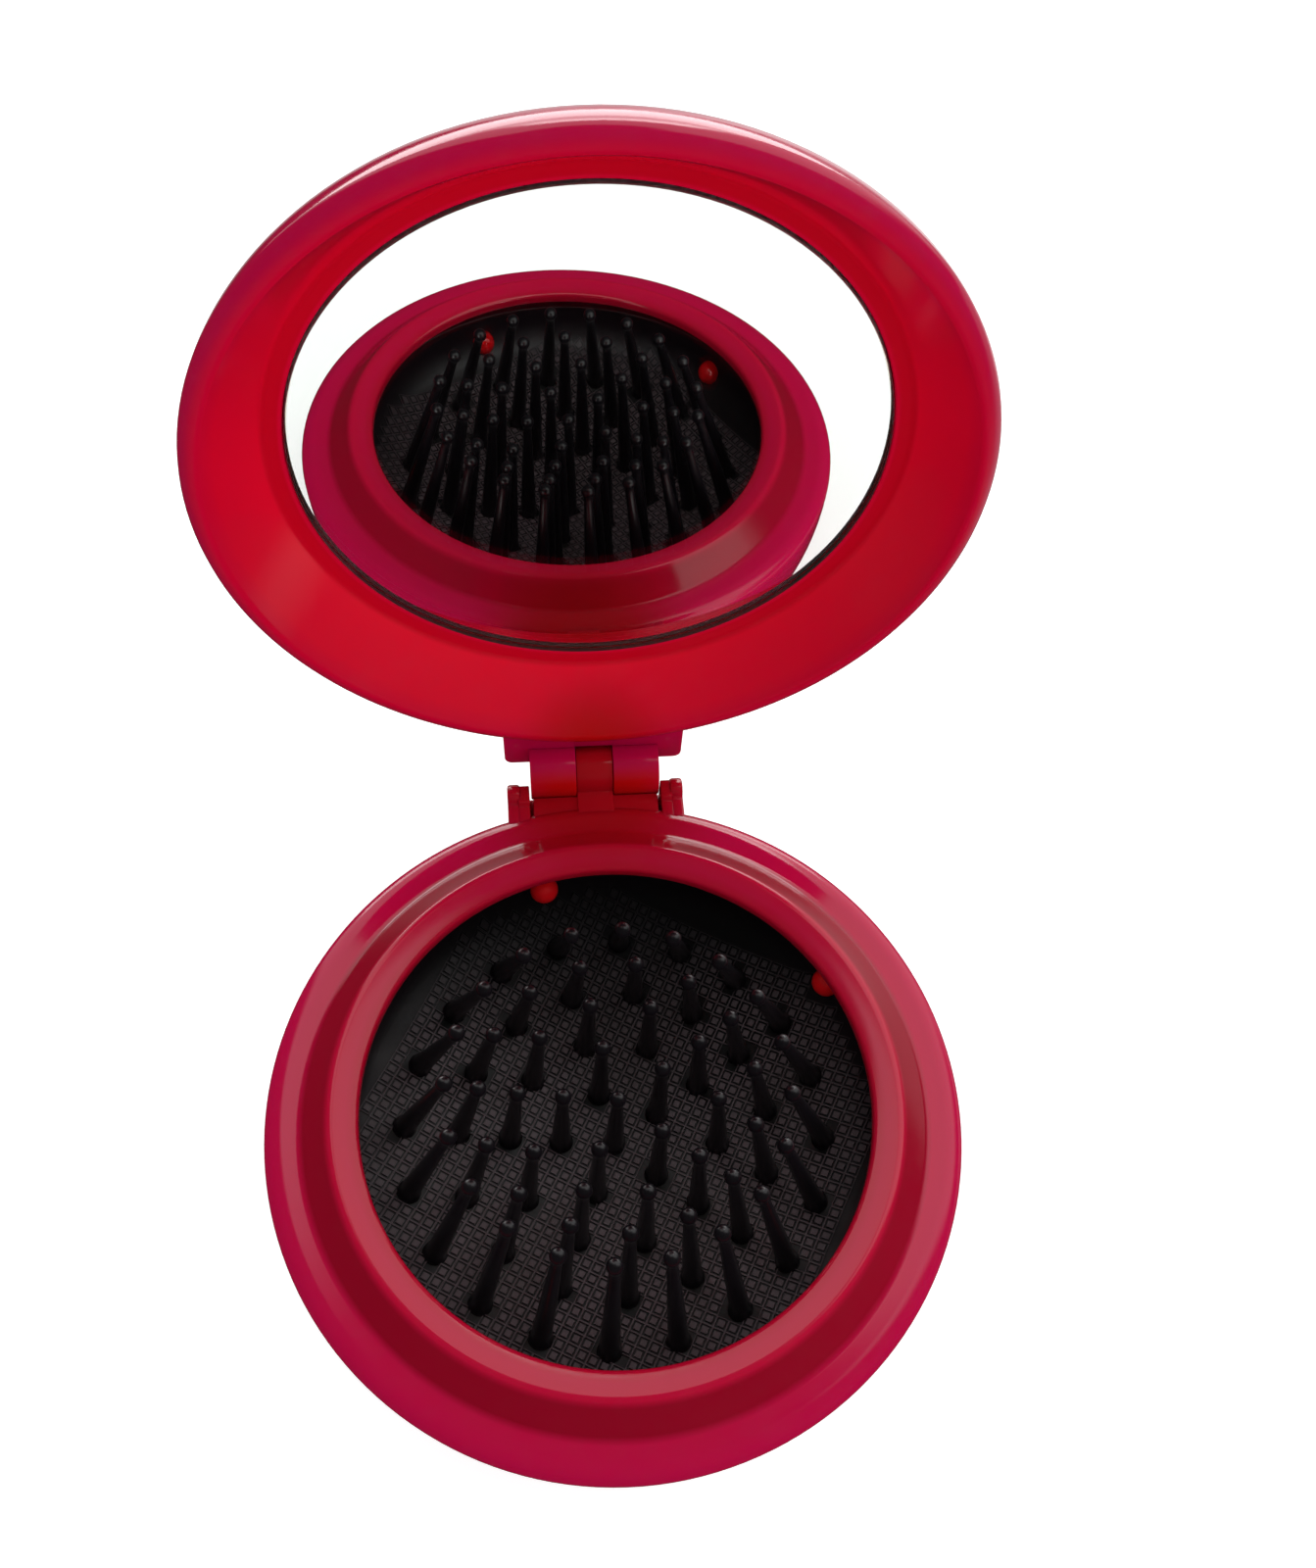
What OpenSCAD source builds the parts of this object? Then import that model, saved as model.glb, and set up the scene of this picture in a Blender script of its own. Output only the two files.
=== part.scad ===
// Round folding brush with a mirror in its lid. The origin is the middle of the foot,
// +Z is up, the hinge is on the +Y side and the lid is drawn standing open.

/* [Body] */
// Outer diameter of the closed brush
outer_d = 70; // [69.5:0.5:72]
// Height of the base, from its foot to the joint with the lid
base_h = 18; // [17.8:0.2:20]
// Height of the lid above the joint
lid_h = 11.4; // [11.2:0.2:13]
// Width of the rounded edge round the flat foot that the base stands on
foot_inset = 10; // [9:0.5:11]
// Wall thickness of the moulded base
wall = 1.5; // [1.3:0.1:1.7]
// Angle that the lid is drawn open at, from closed
open_angle = 92; // [60:1:180]

/* [Rim] */
// Width of the ring below the closed lid, with its rounded outer edge
ledge_w = 3.75; // [3.6:0.05:3.9]
// Width of the cove from that ring up to the lip
cove_w = 3.3; // [3.1:0.1:3.5]
// Width of the lip round the brush
lip_w = 2.55; // [2.4:0.05:2.7]
// Height of the lip above the joint
lip_h = 2.8; // [2.6:0.1:3.2]
// Depth of the skirt round the rubber, below the joint
skirt_depth = 8; // [7.8:0.1:8.4]
// Number of pegs that hold the rubber
peg_count = 5; // [4:1:6]
// Diameter of a peg
peg_d = 3.2; // [3:0.1:3.3]

/* [Rubber pad] */
// Height of the middle of the pad above the foot, pushed in
pad_z = 4; // [3.8:0.1:4.4]
// Height of the outer pins' roots above the middle of the pad
pad_rise = 4.4; // [4:0.1:4.8]
// Thickness of the rubber
rubber_t = 1.2; // [1:0.05:1.3]
// Turn of the pad and its pegs from the hinge
pad_turn = 12.8; // [0:0.1:20]

/* [Pins] */
// Pins that each ring has more than the ring inside it
ring_step = 5; // [3:1:5]
// Distance of the outermost pins' roots from the lip
last_ring_in = 3.1; // [3:0.1:3.6]
// Radius of the innermost ring of pins, as a share of the outermost
first_ring_share = 0.26; // [0.24:0.01:0.28]
// Gap from the outermost pins' tips to the mirror of the closed lid
tip_gap = 0.6; // [0.4:0.1:2]
// Diameter of a pin's root
pin_root_d = 2.05; // [1.8:0.05:2.2]
// Diameter of a pin's neck
pin_neck_d = 1.15; // [1:0.05:1.3]
// Diameter of the ball on a pin's tip
pin_ball_d = 1.7; // [1.5:0.05:1.9]
// Lean of the outermost pins towards the middle
pin_lean = 20; // [14:0.5:21]

/* [Button] */
// Diameter of the push button
button_d = 28; // [26:0.5:28]

/* [Mirror] */
// Width of the lid's bezel, from its edge to the mirror
bezel_w = 8.25; // [8:0.25:9]
// Thickness of the mirror glass
glass_t = 1.2; // [1:0.1:1.3]
// Thickness of the lid behind the mirror and its foam
lid_back_t = 2.44; // [2:0.02:2.5]

/* [Hinge] */
// Distance of the hinge pin from the base's edge
hinge_out = 4.3; // [4.2:0.1:4.8]
// Diameter of the hinge pin
hinge_pin_d = 1.6; // [1.4:0.1:2]
// Radius of the lid's knuckles
knuckle_r = 3.1; // [2.9:0.1:3.2]
// Width of the base's middle knuckle
knuckle_w = 4; // [3.4:0.2:4.2]
// Width over the lid's two knuckles
arms_w = 14.3; // [13.9:0.1:14.3]
// Width of the lid's hinge tab
tab_w = 19.8; // [19:0.2:20.4]

/* [Hidden] */
$fn = 96;

red = "#b00b36";
black = "#1c161b";
outer_r = outer_d / 2;
foot_r = outer_r - foot_inset;
ring_gap = 0.1;
edge_w = 2.1;
edge_h = 1.4;

// base shell
ledge_r = outer_r - ledge_w;
ledge_t = 1.6;
floor_z = wall - base_h;
wall_inset = 0.6;
lip_r = ledge_r - cove_w;
well_r = lip_r - lip_w;
lip_under_z = 0.9;
skirt_t = 1.1;
skirt_r = ledge_r - skirt_t - 0.1;
peg_z = 2 - skirt_depth;
peg_reach = 3.45;

// cover in the bottom of the base
cover_r = outer_r - 7.4;
snap_r = cover_r - 0.8;
snap_t = 0.9;
snap_over = 0.3;
shelf_under_z = floor_z + 0.1;
bore_gap = 0.3;
bore_r = button_d / 2 + bore_gap;

// rubber pad
soft_gap = 0.3;
bead_r = skirt_r - soft_gap;
ring_count = 4;
pad_depth = base_h - pad_z;
last_ring_r = well_r - last_ring_in;
first_ring_r = first_ring_share * last_ring_r;
ring_pitch = (last_ring_r - first_ring_r) / (ring_count - 1);
edge_z = pad_rise - pad_depth;
bowl_curve = pad_rise / pow(last_ring_r, 2);
pad_top = -2.2;
peg_hole_gap = 0.25;
boss_r = 1.45;
boss_h = 0.35;
pin_hole_gap = 0.05;
stem_r = 0.75;
head_r = 1.4;
head_t = 0.6;
head_gap = 0.25;

// push button
flange_over = 1.3;
flange_t = 0.95;
collar_gap = 0.4;
collar_t = 1.2;
collar_h = 2.1;
button_rest = 0.05;
button_floor = 1.4;
button_boss_r = 3.6;

// lid
lid_gap = 0.2;
lid_edge_z = 0.9;
lid_crown = 0.3;
lid_top_r = outer_r - 15;
lid_rim_r = outer_r - 1.4;
mirror_r = outer_r - bezel_w;
recess_r = mirror_r + 0.25;
silver_t = 0.1;
layer_gap = 0.02;
adhesive_t = 0.8;
recess_z = lid_h - lid_back_t;
adhesive_z = recess_z - adhesive_t - layer_gap;
silver_z = adhesive_z - silver_t - layer_gap;
glass_depth = silver_z - glass_t - layer_gap;
pin_len = (glass_depth - tip_gap - edge_z) / cos(pin_lean);
bezel_step = 0.55;

// hinge
hinge_y = outer_r + hinge_out;
hinge_gap = 0.45;
side_gap = 0.2;
pin_fit_tight = 0.02;
pin_fit_loose = 0.06;
tab_y = hinge_y - 0.4;
tab_z = 1;
tab_round = 0.9;
ear_w = (tab_w - 0.2 - arms_w) / 2 - side_gap;
cheek_w = 1.4;
ear_r = 1.3;
ear_y = hinge_y - 2.7;
ear_z = -0.7;
ear_wall_y = outer_r - 2.4;
shelf_z = -knuckle_r - 0.35;

function ring_r(k) = first_ring_r + (k - 1) * ring_pitch;
function ring_lean(k) = pin_lean * pow(ring_r(k) / last_ring_r, 2);
function bowl_z(r) = bowl_curve * r * r - pad_depth;
// height of the base's outside at r from the middle
function outside_z(r) = -edge_h - (base_h - edge_h) * sqrt(1 - pow((r - foot_r) / (outer_r - foot_r), 2));
// points of a quarter ellipse round [r, z], from its side to its bottom or top
function quarter(r, z, a, b, step = 7.5) = [for (t = [0 : step : 90]) [r + a * cos(t), z + b * sin(t)]];

module at_joint() {
    translate([0, 0, base_h]) children();
}

// puts a piece of the closed lid where the open lid has it
module opened() {
    at_joint() translate([0, hinge_y, 0]) rotate([-open_angle, 0, 0]) translate([0, -hinge_y, 0])
        children();
}

module ring_of(n, turn = 0) {
    for (i = [0 : n - 1]) rotate([0, 0, 90 + turn + i * 360 / n]) children();
}

// a flat shape drawn as [y, z], made w wide along X and centred on x
module across(w, x = 0) {
    translate([x - w / 2, 0, 0]) rotate([90, 0, 90]) linear_extrude(w) children();
}

module base_shell() {
    color(red) difference() {
        at_joint() union() {
            rotate_extrude() base_section();
            ring_of(peg_count, pad_turn) translate([0, 0, peg_z]) rotate([0, 90, 0]) peg();
            base_knuckle();
            base_shelf();
            for (side = [-1, 1]) base_ear(side);
        }
        hinge_bore(knuckle_w + 1, pin_fit_tight);
    }
}

module base_section() {
    steep = 75;
    cove_h = lip_h - 0.3;
    cove = [for (t = [0 : steep / 6 : steep]) [
        ledge_r - cove_w * sin(t) / sin(steep),
        cove_h * (1 - cos(t)) / (1 - cos(steep))]];
    edge = quarter(outer_r - edge_w, -edge_h, edge_w, edge_h, 15);
    outside = quarter(foot_r, -edge_h, outer_r - foot_r, edge_h - base_h);
    inside = quarter(foot_r - wall_inset, -ledge_t, outer_r - wall - foot_r + wall_inset,
        floor_z + ledge_t);
    last = 9;
    mouth_r = cover_r + ring_gap;
    shelf_r = snap_r + ring_gap;
    polygon(concat(
        cove,
        [[lip_r - 0.15, lip_h - 0.1], [lip_r - 0.45, lip_h], [well_r + 0.5, lip_h - 0.55],
            [well_r + 0.1, lip_h - 0.75], [well_r, lip_h - 1.05], [well_r, lip_under_z],
            [lip_r - 0.35, lip_under_z], [skirt_r - 1.1, -0.6], [skirt_r, -1.4],
            [skirt_r, -skirt_depth], [skirt_r + skirt_t, -skirt_depth], [skirt_r + skirt_t, -ledge_t]],
        [for (i = [0 : last]) inside[i]],
        [[shelf_r, shelf_under_z + 0.5], [shelf_r, shelf_under_z], [mouth_r, shelf_under_z],
            [mouth_r, outside_z(mouth_r)]],
        [for (i = [last : -1 : 1]) outside[i]],
        edge));
}

// runs inwards from the skirt through the rubber and ends in a dome
module peg() {
    r = peg_d / 2;
    dome_r = skirt_r - peg_reach + r;
    rotate_extrude($fn = 48) polygon(concat([[0, skirt_r + 0.5], [r, skirt_r + 0.5]],
        [for (a = [0 : 15 : 90]) [r * cos(a), dome_r - r * sin(a)]]));
}

module base_knuckle() {
    across(knuckle_w) {
        translate([hinge_y, 0]) circle(knuckle_r - 0.3);
        polygon([[outer_r - 1, -0.2], [hinge_y, -0.2], [hinge_y, 0.3 - knuckle_r],
            [hinge_y - 2.2, -3.4], [outer_r - 1, -6]]);
    }
}

// closes the underside of the hinge, below the lid's knuckles
module base_shelf() {
    across(arms_w + 2 * side_gap + ear_w) polygon([[ear_wall_y, shelf_z], [ear_y + 1.1, shelf_z],
        [ear_y + 1.1, shelf_z - 0.8], [ear_y + 0.7, shelf_z - 1], [ear_wall_y, -6.8]]);
    // further back between the ears
    across(arms_w - 0.4) polygon([[ear_y, shelf_z], [hinge_y + 0.2, shelf_z],
        [hinge_y + 0.2, shelf_z - 0.5], [hinge_y, shelf_z - 0.7], [ear_y, shelf_z - 1.1]]);
}

module base_ear(side) {
    inner = arms_w / 2 + side_gap;
    across(cheek_w, side * (inner + ear_w - cheek_w / 2)) {
        translate([ear_y, ear_z]) circle(ear_r);
        polygon([[ear_wall_y, -0.3], [ear_y - ear_r, -0.3], [ear_y, ear_z], [ear_y + ear_r, ear_z],
            [ear_y + ear_r, shelf_z - 0.6], [ear_y + ear_r - 0.5, shelf_z - 1.1], [ear_wall_y, -7]]);
    }
    across(ear_w - cheek_w + 0.1, side * (inner + (ear_w - cheek_w + 0.1) / 2))
        polygon([[ear_wall_y, -0.3], [ear_y - ear_r - 0.3, -0.3], [ear_y - ear_r, 0.2],
            [ear_y + 0.7, 0.2], [ear_y + 0.9, 0], [ear_y + 0.9, shelf_z - 0.5],
            [ear_wall_y, -6.5]]);
}

module hinge_bore(w, gap) {
    translate([-w / 2, hinge_y, base_h]) rotate([0, 90, 0]) cylinder(h = w, d = hinge_pin_d + 2 * gap);
}

// closes the bottom, snaps into the shell and guides the button
module base_cover() {
    collar_r = bore_r + flange_over + collar_gap - bore_gap;
    snap_z = shelf_under_z + 0.65;
    color(red) at_joint() rotate_extrude() polygon([[bore_r + 0.4, -base_h], [bore_r, 0.4 - base_h],
        [bore_r, floor_z], [collar_r, floor_z], [collar_r, floor_z + collar_h],
        [collar_r + collar_t, floor_z + collar_h], [collar_r + collar_t, floor_z],
        [snap_r - snap_t, floor_z], [snap_r - snap_t, snap_z + 1.4], [snap_r - 0.2, snap_z + 1.4],
        [snap_r + snap_over, snap_z + 0.75], [snap_r + snap_over, snap_z + 0.35], [snap_r, snap_z],
        [snap_r, shelf_under_z - 0.05], [cover_r, shelf_under_z - 0.05],
        [cover_r, outside_z(cover_r)], [foot_r + 1.3, outside_z(foot_r + 1.3)], [foot_r, -base_h]]);
}

module brush_pad() {
    color(black) at_joint() difference() {
        union() {
            rotate_extrude() pad_section();
            for (k = [1 : ring_count]) ring_of(k * ring_step, pad_turn) root(ring_r(k), ring_lean(k))
                pad_boss();
            root(0, 0) pad_boss();
        }
        for (k = [1 : ring_count]) ring_of(k * ring_step, pad_turn) root(ring_r(k), ring_lean(k))
            pad_hole();
        root(0, 0) pad_hole();
        ring_of(peg_count, pad_turn) translate([0, 0, peg_z]) rotate([0, 90, 0])
            translate([0, 0, bead_r - 3.8]) cylinder(h = 4.5, d = peg_d + 2 * peg_hole_gap);
    }
}

module pad_section() {
    bowl = concat([0], [for (k = [1 : ring_count]) ring_r(k) - ring_pitch / 2]);
    wall_r = bead_r - rubber_t;
    foot_z = bowl_z(wall_r);
    polygon(concat(
        [for (r = bowl) [r, bowl_z(r)]],
        [[last_ring_r, edge_z], [last_ring_r + 2.1, bowl_z(last_ring_r + 2.1)],
            [wall_r - 2, bowl_z(wall_r - 2)], [wall_r - 1.1, foot_z - 0.45], [wall_r - 0.4, foot_z + 0.4],
            [wall_r, foot_z + 1.8], [wall_r, pad_top - 0.25], [wall_r + 0.25, pad_top],
            [bead_r - 0.2, pad_top], [bead_r, pad_top - 0.2], [bead_r, foot_z - 0.2],
            [bead_r - 0.4, foot_z - 1.6], [bead_r - 1.4, foot_z - 2.2],
            [wall_r - 2, bowl_z(wall_r - 2) - rubber_t],
            [last_ring_r + 1, bowl_z(last_ring_r + 1) - rubber_t]],
        [for (i = [len(bowl) - 1 : -1 : 0]) [bowl[i], bowl_z(bowl[i]) - rubber_t]]));
}

// the root of a pin, r from the middle and leaning inwards
module root(r, lean) {
    translate([r, 0, bowl_z(r)]) rotate([0, -lean, 0]) children();
}

module pad_boss() {
    translate([0, 0, -rubber_t / 2]) cylinder(h = rubber_t / 2 + boss_h, r = boss_r, $fn = 32);
}

module pad_hole() {
    translate([0, 0, -2 * rubber_t]) cylinder(h = 4 * rubber_t, r = stem_r + pin_hole_gap, $fn = 32);
}

// stands on z = 0 as the rubber's surface, with its head below the rubber
module pin() {
    root_z = boss_h + 0.03;
    head_top = -rubber_t - head_gap;
    ball_r = pin_ball_d / 2;
    ball_z = pin_len - ball_r;
    root_r = pin_root_d / 2;
    rotate_extrude($fn = 32) polygon(concat(
        [[0, head_top - head_t], [head_r - 0.3, head_top - head_t], [head_r, head_top - 0.3],
            [head_r, head_top], [stem_r, head_top], [stem_r, root_z], [root_r + 0.2, root_z],
            [root_r + 0.12, root_z + 0.4], [root_r, root_z + 0.9],
            [pin_neck_d / 2, ball_z - 0.8]],
        [for (a = [-45 : 33.75 : 90]) [ball_r * cos(a), ball_z + ball_r * sin(a)]]));
}

module pin_centre() {
    color(black) at_joint() root(0, 0) pin();
}

module pins_ring(k) {
    color(black) at_joint() ring_of(k * ring_step, pad_turn) root(ring_r(k), ring_lean(k)) pin();
}

module push_button() {
    r = button_d / 2;
    flange_z = floor_z + button_rest;
    top_z = flange_z + flange_t;
    inside_z = button_floor - base_h;
    color(red) at_joint() {
        rotate_extrude() polygon([[0, -base_h], [r - 4.6, -base_h], [r - 4.3, 0.3 - base_h],
            [r - 3.5, 0.3 - base_h], [r - 3.2, -base_h], [r - 0.4, -base_h], [r, 0.4 - base_h],
            [r, flange_z], [r + flange_over, flange_z], [r + flange_over, top_z - 0.2],
            [r + flange_over - 0.2, top_z], [r - 1.5, top_z], [r - 1.5, inside_z],
            [button_boss_r, inside_z], [button_boss_r, top_z], [head_r + 0.7, top_z],
            [head_r + 0.7, inside_z + 0.2], [0, inside_z + 0.2]]);
        ring_of(ring_step, pad_turn + 180 / ring_step) translate([button_boss_r - 0.2, -0.5, inside_z - 0.2])
            cube([r - 1.4 - button_boss_r, 1, top_z - inside_z + 0.2]);
    }
}

module hinge_pin() {
    length = arms_w - 0.2;
    color("silver") translate([-length / 2, hinge_y, base_h]) rotate([0, 90, 0])
        cylinder(h = length, d = hinge_pin_d);
}

module lid() {
    color(red) opened() difference() {
        union() {
            rotate_extrude() lid_section();
            lid_tab();
            for (side = [-1, 1]) lid_arm(side);
        }
        // room for the base's middle knuckle
        across(knuckle_w + 2 * hinge_gap) translate([hinge_y, 0]) circle(knuckle_r + 0.2);
        translate([-arms_w / 2 - 1, hinge_y, 0]) rotate([0, 90, 0])
            cylinder(h = arms_w + 2, d = hinge_pin_d + 2 * pin_fit_loose);
    }
}

module lid_section() {
    crown_z = lid_h - lid_crown;
    polygon(concat(
        [[lid_rim_r, lid_gap], [outer_r - 0.4, lid_gap], [outer_r - 0.1, lid_gap + 0.25]],
        quarter(lid_top_r, lid_edge_z, outer_r - lid_top_r, crown_z - lid_edge_z),
        [[lid_top_r * 0.6, crown_z + lid_crown * 0.6], [0, lid_h], [0, recess_z],
            [recess_r, recess_z], [recess_r, glass_depth + bezel_step],
            [recess_r + 1.7, glass_depth], [lid_rim_r - 0.4, lid_gap + 0.8],
            [lid_rim_r, lid_gap + 0.4]]));
}

module lid_tab() {
    half = tab_w / 2;
    intersection() {
        across(tab_w) polygon([[outer_r - 1.1, tab_z], [tab_y - 0.4, tab_z], [tab_y, tab_z + 0.4],
            [tab_y, tab_z + 2], [tab_y - 0.6, tab_z + 2.8], [outer_r - 4, tab_z + 4.8],
            [outer_r - 4, tab_z + 3.4]]);
        linear_extrude(lid_h) union() {
            translate([-half, 0]) square([tab_w, tab_y - tab_round]);
            translate([tab_round - half, 0]) square([tab_w - 2 * tab_round, tab_y]);
            for (x = [tab_round - half, half - tab_round]) translate([x, tab_y - tab_round])
                circle(tab_round);
        }
    }
}

module lid_arm(side) {
    inner = knuckle_w / 2 + hinge_gap;
    w = arms_w / 2 - inner;
    r = knuckle_r;
    across(w, side * (inner + w / 2)) {
        translate([hinge_y, 0]) circle(r);
        polygon([[hinge_y - r, 0], [hinge_y - r, 0.9], [hinge_y - r + 0.5, 1.8],
            [hinge_y - 2, tab_z + 2.4], [hinge_y - 0.4, tab_z + 2.2], [hinge_y + r - 0.9, 2.3],
            [hinge_y + r, 0.8], [hinge_y + r, 0]]);
    }
}

module mirror_glass() {
    ground = 0.4;
    color("#c8dcd8") opened() rotate_extrude() polygon([[0, glass_depth], [mirror_r - ground, glass_depth],
        [mirror_r, glass_depth + ground], [mirror_r, glass_depth + glass_t],
        [0, glass_depth + glass_t]]);
}

module mirror_silvering() {
    color("silver") opened() translate([0, 0, silver_z]) cylinder(h = silver_t, r = mirror_r - 0.15);
}

module mirror_adhesive() {
    color("white") opened() translate([0, 0, adhesive_z]) cylinder(h = adhesive_t, r = mirror_r - 2.7);
}

base_shell();
base_cover();
brush_pad();
pin_centre();
pins_ring(1);  // pins_ring_1
pins_ring(2);  // pins_ring_2
pins_ring(3);  // pins_ring_3
pins_ring(4);  // pins_ring_4
push_button();
hinge_pin();
lid();
mirror_glass();
mirror_silvering();
mirror_adhesive();
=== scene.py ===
# Round folding brush with a mirror in its lid: the looks of every piece, built round the CAD frame.
import math
import bpy
import bmesh
from mathutils import Matrix, Vector
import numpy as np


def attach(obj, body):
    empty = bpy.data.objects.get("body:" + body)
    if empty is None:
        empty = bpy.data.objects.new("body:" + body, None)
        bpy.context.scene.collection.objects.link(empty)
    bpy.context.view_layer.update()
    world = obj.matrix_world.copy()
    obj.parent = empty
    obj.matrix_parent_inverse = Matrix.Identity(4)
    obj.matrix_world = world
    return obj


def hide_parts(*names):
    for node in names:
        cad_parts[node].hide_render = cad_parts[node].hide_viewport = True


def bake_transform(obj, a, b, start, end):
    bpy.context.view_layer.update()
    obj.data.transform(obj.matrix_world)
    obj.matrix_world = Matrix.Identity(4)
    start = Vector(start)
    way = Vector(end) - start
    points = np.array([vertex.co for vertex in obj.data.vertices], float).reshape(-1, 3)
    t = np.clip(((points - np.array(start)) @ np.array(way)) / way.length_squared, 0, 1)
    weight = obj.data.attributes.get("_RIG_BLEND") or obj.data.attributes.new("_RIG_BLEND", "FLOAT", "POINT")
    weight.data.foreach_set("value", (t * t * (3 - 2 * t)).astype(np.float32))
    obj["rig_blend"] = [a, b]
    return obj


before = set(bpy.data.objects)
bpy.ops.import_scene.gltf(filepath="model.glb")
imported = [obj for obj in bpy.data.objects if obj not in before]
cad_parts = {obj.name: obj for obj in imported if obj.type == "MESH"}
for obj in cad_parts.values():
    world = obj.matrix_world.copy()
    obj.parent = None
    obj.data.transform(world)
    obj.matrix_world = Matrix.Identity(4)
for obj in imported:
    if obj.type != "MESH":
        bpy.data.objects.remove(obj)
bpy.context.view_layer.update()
print("frame loaded:", ", ".join(sorted(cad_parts)))

# Sizes that several pieces share, all in mm, with z = 0 where base and lid meet.
brush = {
    "outerRadius": 35.0,
    "baseHeight": 18.0,
    "hingeY": 39.3,
    "openAngle": 92.0,
    "wellRadius": 25.4,  # the opening inside the lip
    "spinSteps": 160,
    "cornerSteps": 5,
    "weldDistance": 0.0005,
    "sharpFrom": 0.4,  # in radians, the angle from which a plate's edge is broken
}

metresPerMm = 0.001
hingeAxis = Vector((0, brush["hingeY"], 0))
toBase = Matrix.Scale(metresPerMm, 4) @ Matrix.Translation((0, 0, brush["baseHeight"]))
toOpenLid = (
    toBase
    @ Matrix.Translation(hingeAxis)
    @ Matrix.Rotation(math.radians(-brush["openAngle"]), 4, "X")
    @ Matrix.Translation(-hingeAxis)
)


# Helpers for meshes.
def arc(centre, radius, fromAngle, toAngle, steps):
    angles = [math.radians(fromAngle + (toAngle - fromAngle) * i / steps) for i in range(steps + 1)]
    return [(centre[0] + radius * math.cos(a), centre[1] + radius * math.sin(a)) for a in angles]


def quarterEllipse(centre, across, along, steps=22):
    # from the side of the ellipse to its top, or to its bottom when along is below zero
    angles = [math.pi / 2 * i / steps for i in range(steps + 1)]
    return [(centre[0] + across * math.cos(a), centre[1] + along * math.sin(a)) for a in angles]


def spinOutline(bm, outline, steps=brush["spinSteps"]):
    # rows are radius, height and, for a rounded corner, how far from it the round starts
    wire = []
    rounds = {}
    for radius, height, *corner in outline:
        vert = bm.verts.new((radius, 0, height))
        wire.append(vert)
        if corner:
            rounds.setdefault(corner[0], []).append(vert)
    meetsAxis = outline[0][0] == 0
    for start, end in zip(wire, wire[1:] if meetsAxis else wire[1:] + wire[:1]):
        bm.edges.new((start, end))
    for size, corners in rounds.items():
        bmesh.ops.bevel(bm, geom=corners, offset=size, segments=brush["cornerSteps"], profile=0.5,
                        affect="VERTICES", material=-1)
    wireOnly = [v for v in bm.verts if not v.link_faces]
    edgesOnly = [e for e in bm.edges if not e.link_faces]
    bmesh.ops.spin(bm, geom=wireOnly + edgesOnly, cent=(0, 0, 0), axis=(0, 0, 1), dvec=(0, 0, 0),
                   angle=2 * math.pi, steps=steps, use_merge=True)
    bmesh.ops.remove_doubles(bm, verts=bm.verts, dist=brush["weldDistance"])


def addPlate(bm, outline, fromX, toX, edgeRound=0.15, cornerRound=0.0):
    # a flat shape drawn as y and z, made thick along x, with its edges broken and, where wanted, its
    # end at toX rounded at the side away from the middle of the brush
    before = set(bm.verts)
    face = bm.faces.new([bm.verts.new((fromX, y, z)) for y, z in outline])
    grown = bmesh.ops.extrude_face_region(bm, geom=[face], use_keep_orig=True)
    moved = [v for v in grown["geom"] if isinstance(v, bmesh.types.BMVert)]
    bmesh.ops.translate(bm, verts=moved, vec=(toX - fromX, 0, 0))
    if cornerRound:
        endY = max(y for y, z in outline)
        ends = [e for e in {e for v in moved for e in v.link_edges}
                if all(v in moved and v.co.y > endY - cornerRound for v in e.verts)]
        bmesh.ops.bevel(bm, geom=ends, offset=cornerRound, segments=6, profile=0.5,
                        affect="EDGES", material=-1, clamp_overlap=True)
    edges = {e for v in bm.verts if v not in before for e in v.link_edges
             if e.calc_face_angle(0) > brush["sharpFrom"]}
    bmesh.ops.bevel(bm, geom=list(edges), offset=edgeRound, segments=2, profile=0.5,
                    affect="EDGES", material=-1, clamp_overlap=True)


def addPeg(bm, radius, length, matrix):
    # a round bar along its own z, with a dome for its far end that leaves a small flat at its middle
    before = set(bm.verts)
    bmesh.ops.create_cone(bm, cap_ends=True, segments=40, radius1=radius, radius2=radius,
                          depth=length, matrix=Matrix.Translation((0, 0, length / 2)))
    farRim = [e for e in bm.edges
              if e.verts[0] not in before and all(v.co.z > length * 0.99 for v in e.verts)]
    bmesh.ops.bevel(bm, geom=farRim, offset=radius * 0.97, segments=8, profile=0.5, affect="EDGES",
                    material=-1)
    bmesh.ops.transform(bm, matrix=matrix, verts=[v for v in bm.verts if v not in before])


def finishPiece(name, bm, placement, material, bodyName, replaced, sharpAngle=32):
    # a piece without a body of its own is blended between two by whoever made it
    bmesh.ops.recalc_face_normals(bm, faces=bm.faces)
    bmesh.ops.transform(bm, matrix=placement, verts=bm.verts)
    mesh = bpy.data.meshes.new(name)
    bm.to_mesh(mesh)
    bm.free()
    mesh.shade_smooth()
    mesh.set_sharp_from_angle(angle=math.radians(sharpAngle))
    mesh.materials.append(material)
    piece = bpy.data.objects.new(name, mesh)
    bpy.context.scene.collection.objects.link(piece)
    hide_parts(*replaced)
    if bodyName:
        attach(piece, bodyName)
    print("made", name, "with", len(mesh.polygons), "faces")
    return piece


# Helpers for materials.
def linearColour(hexText):
    channels = [int(hexText[i:i + 2], 16) / 255 for i in (1, 3, 5)]
    return (*[c / 12.92 if c <= 0.04045 else ((c + 0.055) / 1.055) ** 2.4 for c in channels], 1.0)


def addNode(tree, kind, inputs=None, **settings):
    # an input is a value, a socket, or a node that stands for its first output
    node = tree.nodes.new(kind)
    for name, value in settings.items():
        setattr(node, name, value)
    for name, value in (inputs or {}).items():
        if isinstance(value, bpy.types.Node):
            value = value.outputs[0]
        if isinstance(value, bpy.types.NodeSocket):
            tree.links.new(value, node.inputs[name])
        else:
            node.inputs[name].default_value = value
    return node


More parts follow.
